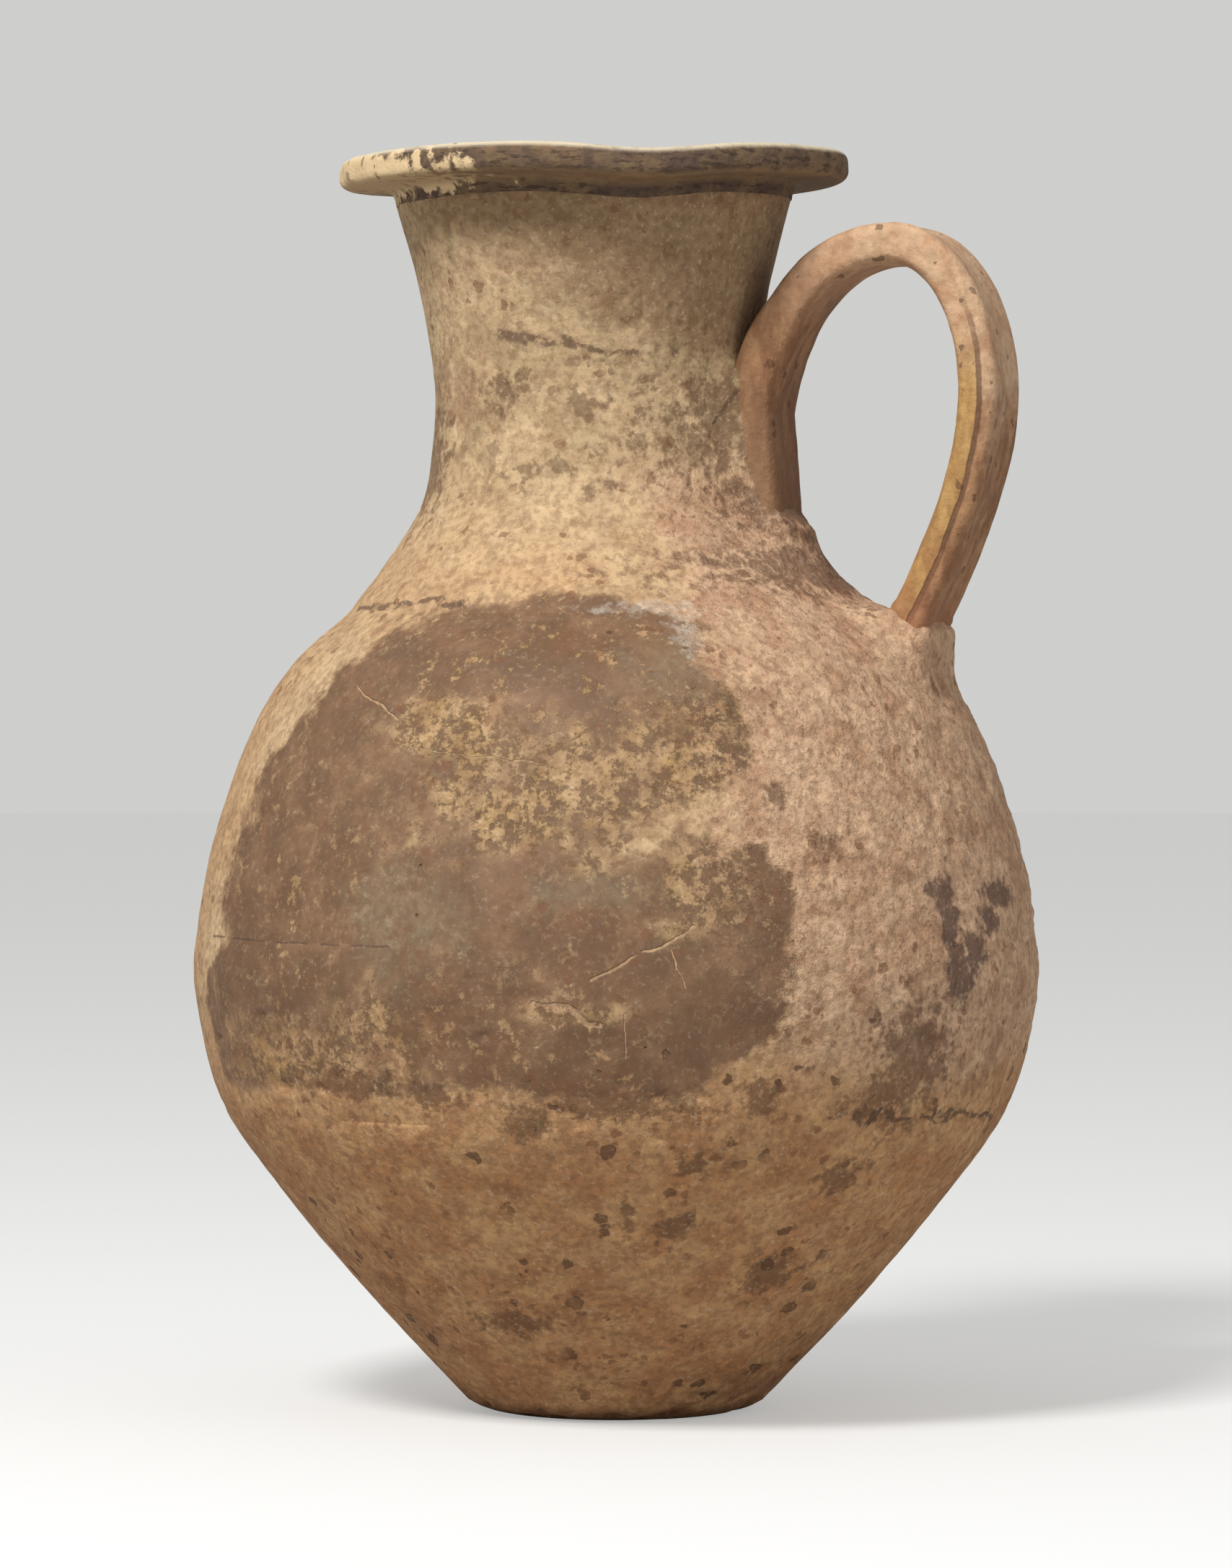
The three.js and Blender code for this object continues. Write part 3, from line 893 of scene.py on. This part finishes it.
def new_clay(name):
    material = bpy.data.materials.new(name)
    material.use_nodes = True
    tree = material.node_tree
    position = node(tree, "TexCoord").outputs["Object"]
    return material, tree, tree.nodes["Principled BSDF"], position


def wire_clay(tree, surface, colour, rough, height, bump_depth=0.0011):
    bump = node(tree, "Bump", {"Height": height, "Distance": bump_depth, "Strength": 0.75})
    tree.links.new(colour, surface.inputs["Base Color"])
    tree.links.new(rough, surface.inputs["Roughness"])
    tree.links.new(bump.outputs[0], surface.inputs["Normal"])
    surface.inputs["Specular IOR Level"].default_value = 0.28


def wall_clay():
    material, tree, surface, position = new_clay("wall_clay")
    wire_clay(tree, surface, *lay_skin(tree, position))
    return material


WALL_CLAY = wall_clay()

# %% [markdown]
# ### Clay of the lip
# The lip was handled most: its face is a worn grey-brown, with cream chips on the left where the
# skin has gone. A painted highlight on the faces that look up shows as a thin pale line along its
# upper edge, and painted light makes the faces that look down lighter.

# %% Rim clay
LIP_LOW = RIM_JOINT + RIM_CLEAR_RISE
LIP_HIGH = LIP_LOW + 8
LIP_CHIPS = [(-70, 340, 9, 6), (-62, 342, 8, 5)]


def rim_clay():
    material, tree, surface, position = new_clay("rim_clay")
    flat = place_group(tree, UNROLL, {"Position": position})
    middle = grain(tree, position, 90, 5, 0.65)
    fine = grain(tree, position, 420, 4, 0.65)
    streaky = grain(tree, vector_calc(tree, "MULTIPLY", flat, (1, 1, 6)), 120, 5, 0.65)
    colour = blend(tree, ramp(tree, middle, 0.38, 0.62), tone("58463a"), tone("7b6349"))
    colour = blend(tree, ramp(tree, streaky, 0.5, 0.6, 0, 0.8), colour, tone("43342a"))
    here = SimpleNamespace(position=position, flat=flat)
    chips = patches(tree, here, LIP_CHIPS, 0.9, 210, 0.2)
    colour = blend(tree, chips, colour, tone("d9bd92"))
    normal = node(tree, "NewGeometry").outputs["Normal"]
    facing = node(tree, "SeparateXYZ", {0: normal})
    # Painted highlight on the faces of the lip that look up.
    upward = ramp(tree, facing.outputs[2], 0.35, 0.9)
    top_highlight = times(tree, upward, ramp(tree, middle, 0.3, 0.5, 0.55, 0.95))
    colour = blend(tree, top_highlight, colour, tone("d8c8ab"))
    # Painted light on the faces of the lip that look down, which makes them lighter.
    downward = ramp(tree, facing.outputs[2], -0.4, -0.9)
    colour = lay_over(tree, colour, tone("8e7352"), downward, 0.6)
    small = place_group(tree, SPECKS, {"Position": position, "Scale": 300, "Cover": 0.3})
    colour = lay_over(tree, colour, DARK_BROWN, small, 0.5)
    rough = ramp(tree, middle, 0.3, 0.7, 0.72, 0.88)
    wire_clay(tree, surface, colour, rough, plus(tree, middle, times(tree, fine, 0.6)))
    return material


RIM_CLAY = rim_clay()

# %% [markdown]
# ### Clay of the handle
# The strap is browner down its sides. Its arch is painted pinkish cream on top as a highlight, and
# its arm that rises from the neck is painted darker as shade. A painted band of light, in ochre,
# runs down the near edge of its outer arm, with a painted shade line along a groove beside it.
# The strap's mesh carries two numbers of its own for this: how far a point is along it, and how
# deep it is through the strap.

# %% Handle clay
def handle_clay():
    material, tree, surface, position = new_clay("handle_clay")
    along = node(tree, "Attribute", attribute_name="along").outputs["Fac"]
    depth = node(tree, "Attribute", attribute_name="depth").outputs["Fac"]
    middle = grain(tree, position, 95, 5, 0.62)
    fine = grain(tree, position, 420, 4, 0.65)
    long_grain = grain(tree, vector_calc(tree, "MULTIPLY", position, (1, 1, 0.35)), 190, 5, 0.6)
    uneven = sway(tree, middle, 0.25)
    spot = plus(tree, along, uneven)
    brown = blend(tree, ramp(tree, long_grain, 0.4, 0.62), tone("8f6648"), tone("b08560"))
    # The top of the arch gets a painted highlight in pinkish cream.
    highlight_cream = blend(tree, ramp(tree, middle, 0.4, 0.65), tone("dcb793"), tone("c79b78"))
    top = times(tree, ramp(tree, spot, 0.22, 0.42), ramp(tree, spot, 0.6, 0.74, 1, 0))
    colour = blend(tree, times(tree, top, 0.85), brown, highlight_cream)
    # A painted band of light runs down the near side of the outer arm.
    near = ramp(tree, node(tree, "SeparateXYZ", {0: position}).outputs[1], -0.0085, -0.0125)
    arm = ramp(tree, along, 0.56, 0.66)
    lit_band = times(tree, times(tree, near, arm), ramp(tree, depth, -0.25, 0.05))
    ochre = blend(tree, ramp(tree, long_grain, 0.4, 0.6), tone("c9a163"), tone("a97f4c"))
    colour = lay_over(tree, colour, ochre, lit_band, 0.85)
    # A painted shade line along the groove beside the lit band. The same mask sinks the groove in the
    # bump.
    ridge_off = calc(tree, "ABSOLUTE", plus(tree, plus(tree, depth, 0.2), uneven))
    shaded_groove = times(tree, ramp(tree, ridge_off, 0.06, 0.16, 1, 0), near)
    shaded_groove = times(tree, shaded_groove, ramp(tree, along, 0.5, 0.64))
    colour = lay_over(tree, colour, tone("55382a"), shaded_groove, 0.7)
    root = ramp(tree, spot, 0.84, 0.97)
    colour = lay_over(tree, colour, tone("a56f4f"), root, 0.65)
    # Painted shade on the arm that rises from the neck.
    low = ramp(tree, spot, 0.24, 0.1)
    colour = lay_over(tree, colour, tone("83644a"), low, 0.6)
    small = place_group(tree, SPECKS, {"Position": position, "Scale": 260, "Cover": 0.28})
    colour = lay_over(tree, colour, DARK_BROWN, small, 0.6)
    colour = blend(tree, ramp(tree, fine, 0.34, 0.66, 0.25, 0), colour, tone("5f4632"))
    height = plus(tree, long_grain, times(tree, fine, 0.7))
    height = calc(tree, "SUBTRACT", height, times(tree, shaded_groove, 0.6))
    wire_clay(tree, surface, colour, ramp(tree, middle, 0.3, 0.7, 0.75, 0.9), height)
    return material


HANDLE_CLAY = handle_clay()

# %% [markdown]
# ## The rings
# Every joint climbs as it goes in, as a potter bevels two edges to lap them, and the profiles of
# two neighbours share that slant.

# %% Turn the base, the body and the neck
def turn_ring(name, low, high):
    profile = outer_points(low, high) + inner_points(low + LAP, high + LAP)[::-1]
    return finish_piece(spin_profile(profile), name, WALL_CLAY, skin_and_warp)


FOOT_RADIUS = 33
BASE_THICKNESS = 10


def worn_foot(points):
    """Chip and round the foot's edge unevenly, and keep its underside flat."""
    moved = skin_and_warp(points)
    x, y, z = moved.T
    r = np.hypot(x, y)
    edge = smoothstep(r, FOOT_RADIUS - 1, FOOT_RADIUS + 5) * (1 - smoothstep(z, 3, 6))
    bite = edge * 1.5 * smoothstep(rough_noise(points, 8, 31), 0.45, 0.75)
    moved[:, 2] = np.maximum(moved[:, 2], 0) + bite
    return moved


def turn_base():
    top = inner_points(BASE_JOINT + LAP, BASE_JOINT + LAP + 1)[0]
    foot = [(FOOT_RADIUS * i / 10, 0) for i in range(11)]
    bevel = [(34.5, 0.25), (36, 0.6), (37.5, 1.1), (38.8, 1.5), (40.2, 2.0)]
    floor = [(top[0] - 3, 11.2), (30, 10.6), (16, BASE_THICKNESS), (0, BASE_THICKNESS)]
    profile = foot + bevel + outer_points(FOOT_EDGE, BASE_JOINT) + [top] + floor
    finish_piece(spin_profile(profile, False), "base_disc", WALL_CLAY, worn_foot)


turn_base()
turn_ring("lower_body", BASE_JOINT, LOWER_JOINT)
turn_ring("belly_band", LOWER_JOINT, MIDDLE_JOINT)
turn_ring("shoulder", MIDDLE_JOINT, NECK_JOINT)
turn_ring("neck", NECK_JOINT, RIM_JOINT)

# %% [markdown]
# ### The lip
# The lip is thick, flat on top and rounded at its edge. Its profile is drawn with arcs, and a
# little noise then dulls and chips the edge.

# %% Turn the rim
RIM_RADIUS = 71
RIM_EDGE_ROUND = 2.8


def arc(centre_r, centre_h, radius, start, finish, steps):
    turns = np.radians(np.linspace(start, finish, steps))
    return [(centre_r + radius * math.cos(t), centre_h + radius * math.sin(t)) for t in turns]


def rim_profile():
    root = float(wall_radius(RIM_JOINT))
    bore = inner_points(RIM_JOINT + LAP, RIM_JOINT + LAP + 1)[0]
    fillet = [(root + 0.35, RIM_JOINT + 2), (root + 1.3, LIP_LOW - 1.1), (root + 3, LIP_LOW - 0.3)]
    under = [(r, LIP_LOW) for r in np.linspace(root + 5, RIM_RADIUS - RIM_EDGE_ROUND - 1, 9)]
    edge = arc(RIM_RADIUS - RIM_EDGE_ROUND, LIP_LOW + RIM_EDGE_ROUND, RIM_EDGE_ROUND, -90, 0, 6)
    edge += arc(RIM_RADIUS - RIM_EDGE_ROUND, LIP_HIGH - RIM_EDGE_ROUND, RIM_EDGE_ROUND, 0, 90, 6)
    top = [(r, LIP_HIGH) for r in np.linspace(RIM_RADIUS - RIM_EDGE_ROUND - 1, bore[0] + 5, 9)]
    inner = arc(bore[0] + 5, LIP_HIGH - 5, 5, 90, 180, 6)
    return [(root, RIM_JOINT), *fillet, *under, *edge, *top, *inner, bore]


def chipped_lip(points):
    x, y, z = points.T
    r = np.hypot(x, y)
    edge = smoothstep(r, RIM_RADIUS - 6, RIM_RADIUS)
    dull = -0.25 - 0.7 * edge * rough_noise(points, 7, 41)
    turn = front_turn(x, y)
    chip = np.exp(-(((turn + 1.35) / 0.22) ** 2)) * smoothstep(noise(points, 6, 43), 0.4, 0.6)
    dull = dull - 1.1 * edge * chip
    moved = points.copy()
    moved[:, :2] *= (1 + dull / np.maximum(r, 1))[:, None]
    sag = 0.5 * (rough_noise(points, 30, 45) - 0.6)
    moved[:, 2] += sag * smoothstep(z, LIP_LOW - 3, LIP_LOW + 1)
    return warp(moved)


finish_piece(spin_profile(rim_profile()), "rim", RIM_CLAY, chipped_lip)

# %% [markdown]
# ## The handle
# The strap was rolled, flattened and bent over. Its section is a flattened circle, pushed along
# its path by extruding the loop of edges a step at a time and moving each new loop to its place.
# That keeps the section square to the path without a curve object.

# %% The strap's path
STRAP_WIDTH = 31
STRAP_THICKNESS = 12.4
STRAP_GROOVE = 1.3
ROOT_HEIGHT = NECK_JOINT + 21
ROOT_SINK = 6.6
SPRING_HEIGHT = NECK_JOINT + 55
SPRING_GAP = 3.4
ARCH_OUT = 42
ARCH_DROP = 12.4
ARCH_LEAN = 0.12
REACH_OUT = 67
REACH_DROP = 52
LANDING_HEIGHT = NECK_JOINT - 9
LANDING_SINK = 5
LANDING_SLANT = math.radians(27)
PATH_STEPS = 150
ROUND_SHARE = 0.5523  # what makes a cubic follow a quarter of a circle


def wall_over(height):
    return float(wall_radius(height) + lean(np.array(height)))


def path_knots():
    """Root in the neck, spring off it, top of the arch, widest reach and landing."""
    neck_side = wall_over(SPRING_HEIGHT)
    root = np.array([wall_over(ROOT_HEIGHT) - ROOT_SINK, ROOT_HEIGHT])
    spring = np.array([neck_side + SPRING_GAP, SPRING_HEIGHT])
    arch = np.array([neck_side + ARCH_OUT, RIM_JOINT - ARCH_DROP])
    reach = np.array([neck_side + REACH_OUT, RIM_JOINT - REACH_DROP])
    out = wall_outward(np.array(float(LANDING_HEIGHT)))
    land = np.array([wall_over(LANDING_HEIGHT), LANDING_HEIGHT]) - LANDING_SINK * out
    return root, spring, arch, reach, land


def cubic(a, b, c, d, count):
    t = np.linspace(0, 1, count, endpoint=False)[:, None]
    return a * (1 - t) ** 3 + 3 * b * t * (1 - t) ** 2 + 3 * c * t * t * (1 - t) + d * t**3


def strap_path():
    root, spring, arch, reach, land = path_knots()
    climb = arch[1] - spring[1]
    slope = (spring - root) / np.linalg.norm(spring - root)
    fall = np.linalg.norm(reach - land) / 3
    across = np.array([1, 0])
    upright = np.array([0, 1])
    first = cubic(root, root + (spring - root) / 3, root + (spring - root) * 2 / 3, spring, 30)
    second = cubic(
        spring, spring + slope * climb * ROUND_SHARE + across * climb * ARCH_LEAN,
        arch - across * (arch[0] - spring[0]) * ROUND_SHARE, arch, 50,
    )
    third = cubic(
        arch, arch + across * (reach[0] - arch[0]) * ROUND_SHARE,
        reach + upright * (arch[1] - reach[1]) * ROUND_SHARE, reach, 40,
    )
    fourth = cubic(
        reach, reach - upright * fall,
        land + np.array([math.sin(LANDING_SLANT), math.cos(LANDING_SLANT)]) * fall, land, 60,
    )
    rough = np.concatenate([first, second, third, fourth, [land]])
    length = np.concatenate([[0], np.cumsum(np.linalg.norm(np.diff(rough, axis=0), axis=1))])
    even = np.linspace(0, length[-1], PATH_STEPS)
    return np.stack([np.interp(even, length, rough[:, i]) for i in (0, 1)], -1)


PATH = strap_path()
print("strap runs", round(float(np.linalg.norm(np.diff(PATH, axis=0), axis=1).sum())), "mm")

# %% Sweep the strap
SECTION_POINTS = 72
SECTION_POWER = 4.4
FLARE_SCALE = 300  # the flare's lengths are for a strap this long
FLARE = 0.16
FLARE_START = 6
FLARE_LENGTH = 17
PRESSED_TO = 309
PRESS_FADE = 24


def strap_section(turn):
    """A point of the flattened round section: across the strap, and through it."""
    c, s = math.cos(turn), math.sin(turn)
    across = STRAP_WIDTH / 2 * math.copysign(abs(c) ** (2 / SECTION_POWER), c)
    through = STRAP_THICKNESS / 2 * math.copysign(abs(s) ** (2 / SECTION_POWER), s)
    middle = max(0.0, 1 - (2.4 * across / STRAP_WIDTH) ** 2)
    if through < 0:
        through += STRAP_GROOVE * middle
    return across, through


def path_frame(i):
    ahead = PATH[min(i + 1, PATH_STEPS - 1)] - PATH[max(i - 1, 0)]
    ahead = ahead / np.linalg.norm(ahead)
    place = Matrix.Translation((PATH[i][0], 0, PATH[i][1]))
    turn = Matrix(((0, ahead[1], ahead[0]), (1, 0, 0), (0, -ahead[0], ahead[1]))).to_4x4()
    return place @ turn


def sweep_strap():
    bm = bmesh.new()
    ring = bmesh.ops.create_circle(bm, segments=SECTION_POINTS, radius=1)["verts"]
    for vert in ring:
        across, through = strap_section(math.atan2(vert.co.y, vert.co.x))
        vert.co = (across, through, 0)
    bmesh.ops.transform(bm, matrix=path_frame(0), verts=ring)
    edges = list(bm.edges)
    for i in range(1, PATH_STEPS):
        made = bmesh.ops.extrude_edge_only(bm, edges=edges)["geom"]
        ring = [g for g in made if isinstance(g, bmesh.types.BMVert)]
        edges = [g for g in made if isinstance(g, bmesh.types.BMEdge)]
        step = path_frame(i) @ path_frame(i - 1).inverted()
        bmesh.ops.transform(bm, matrix=step, verts=ring)
    bmesh.ops.holes_fill(bm, edges=[e for e in bm.edges if e.is_boundary], sides=0)
    bmesh.ops.recalc_face_normals(bm, faces=bm.faces)
    return bm


def strap_coordinates(points):
    """How far along the path each point is, from 0 to 1, and its offset through the strap."""
    flat = points[:, [0, 2]]
    near = np.linalg.norm(flat[:, None] - PATH[None, ::3], axis=2).argmin(axis=1) * 3
    ahead = PATH[np.minimum(near + 1, PATH_STEPS - 1)] - PATH[np.maximum(near - 1, 0)]
    ahead = ahead / np.linalg.norm(ahead, axis=1, keepdims=True)
    inward = np.stack([ahead[:, 1], -ahead[:, 0]], -1)
    through = np.sum((flat - PATH[near]) * inward, axis=1)
    return near / (PATH_STEPS - 1), through, inward


def worked_strap(points):
    """Dent and grit the strap, flare it at the shoulder, and press its rising arm on the neck."""
    along, through, inward = strap_coordinates(points)
    left = (1 - along) * FLARE_SCALE
    flare = FLARE * (1 - smoothstep(left, FLARE_START, FLARE_START + FLARE_LENGTH))
    moved = points.copy()
    moved[:, 1] *= 1 + flare - 0.03 - 0.05 * (noise(points, 24, 51) - 0.5)
    dent = 0.7 * (rough_noise(points, 15, 53) - 0.62) + 0.3 * (rough_noise(points, 3.4, 55) - 0.6)
    change = flare * through + np.sign(through) * dent
    moved[:, [0, 2]] += inward * change[:, None]
    level = points[:, 2]
    neck_side = (through < -2) & (along < 0.45)
    press = neck_side * (1 - smoothstep(level, PRESSED_TO - PRESS_FADE, PRESSED_TO))
    wall = wall_radius(level) + lean(level) - 0.8
    moved[:, 0] += press * np.minimum(wall - moved[:, 0], 0)
    return moved


handle = finish_piece(sweep_strap(), "handle", HANDLE_CLAY, worked_strap)


def mark_strap(piece):
    flat = np.empty(len(piece.data.vertices) * 3)
    piece.data.vertices.foreach_get("co", flat)
    along, through, _ = strap_coordinates(flat.reshape(-1, 3) / MM)
    for label, values in (("along", along), ("depth", through / (STRAP_THICKNESS / 2))):
        piece.data.attributes.new(label, "FLOAT", "POINT").data.foreach_set("value", values)


mark_strap(handle)

# %% [markdown]
# ## Clay at the handle's roots
# Wet clay was pressed round each root and smeared out over the wall, so the strap grows out of
# the pot. It is a sheet that follows the wall, raised near the strap and sunk just under the
# skin at its border, and then given a thickness. A boolean would leave a hard line there.

# %% Smeared wads
WAD_CELLS = 72
WAD_THICKNESS = 1.5


def smear(name, height, half_width, half_length, root_width, root_length, rise, reach):
    """A fillet of clay over the wall: raised by rise at the root, and gone a reach away."""
    bm = bmesh.new()
    bmesh.ops.create_grid(bm, x_segments=WAD_CELLS, y_segments=WAD_CELLS, size=1)

    def drape(points):
        up, side = points[:, 0] * half_length, points[:, 1] * half_width
        out = wall_outward(np.array(float(height)))
        level = height + up * out[0]
        radius = wall_radius(level)
        way = wall_outward(level)
        past_side = np.maximum(np.abs(side) - root_width, 0)
        past_end = np.maximum(np.abs(up) - root_length, 0)
        away = np.hypot(past_side, past_end)
        fall = 1 - np.clip(away / reach, 0, 1)
        lift = rise * fall**2.2
        turn = side / radius
        wet = np.stack([radius * np.cos(turn), radius * np.sin(turn), level], -1)
        lift = lift + relief(wet) * 0.9 + 0.9 * (rough_noise(wet, 9, 61) - 0.5) * fall
        border = smoothstep(np.maximum(np.abs(points[:, 0]), np.abs(points[:, 1])), 0.86, 1)
        lift = lift - 0.35 * (1 - smoothstep(fall, 0, 0.2)) - 1.2 * border
        full = radius + lift * way[:, 0]
        level = level + lift * way[:, 1]
        return warp(np.stack([full * np.cos(turn), full * np.sin(turn), level], -1))

    flat = np.array([v.co[:] for v in bm.verts])
    for vert, place in zip(bm.verts, drape(flat)):
        vert.co = place
    bm.normal_update()
    if sum(face.normal.x for face in bm.faces) < 0:
        bmesh.ops.reverse_faces(bm, faces=bm.faces)
    bmesh.ops.solidify(bm, geom=bm.faces, thickness=WAD_THICKNESS)
    return finish_piece(bm, name, WALL_CLAY, lambda points: points)


smear(
    "lower_handle_wad", LANDING_HEIGHT, half_width=34, half_length=30,
    root_width=13, root_length=4, rise=10, reach=19,
)
smear(
    "upper_handle_wad", NECK_JOINT + 42, half_width=27, half_length=38,
    root_width=13, root_length=22, rise=4.5, reach=13,
)
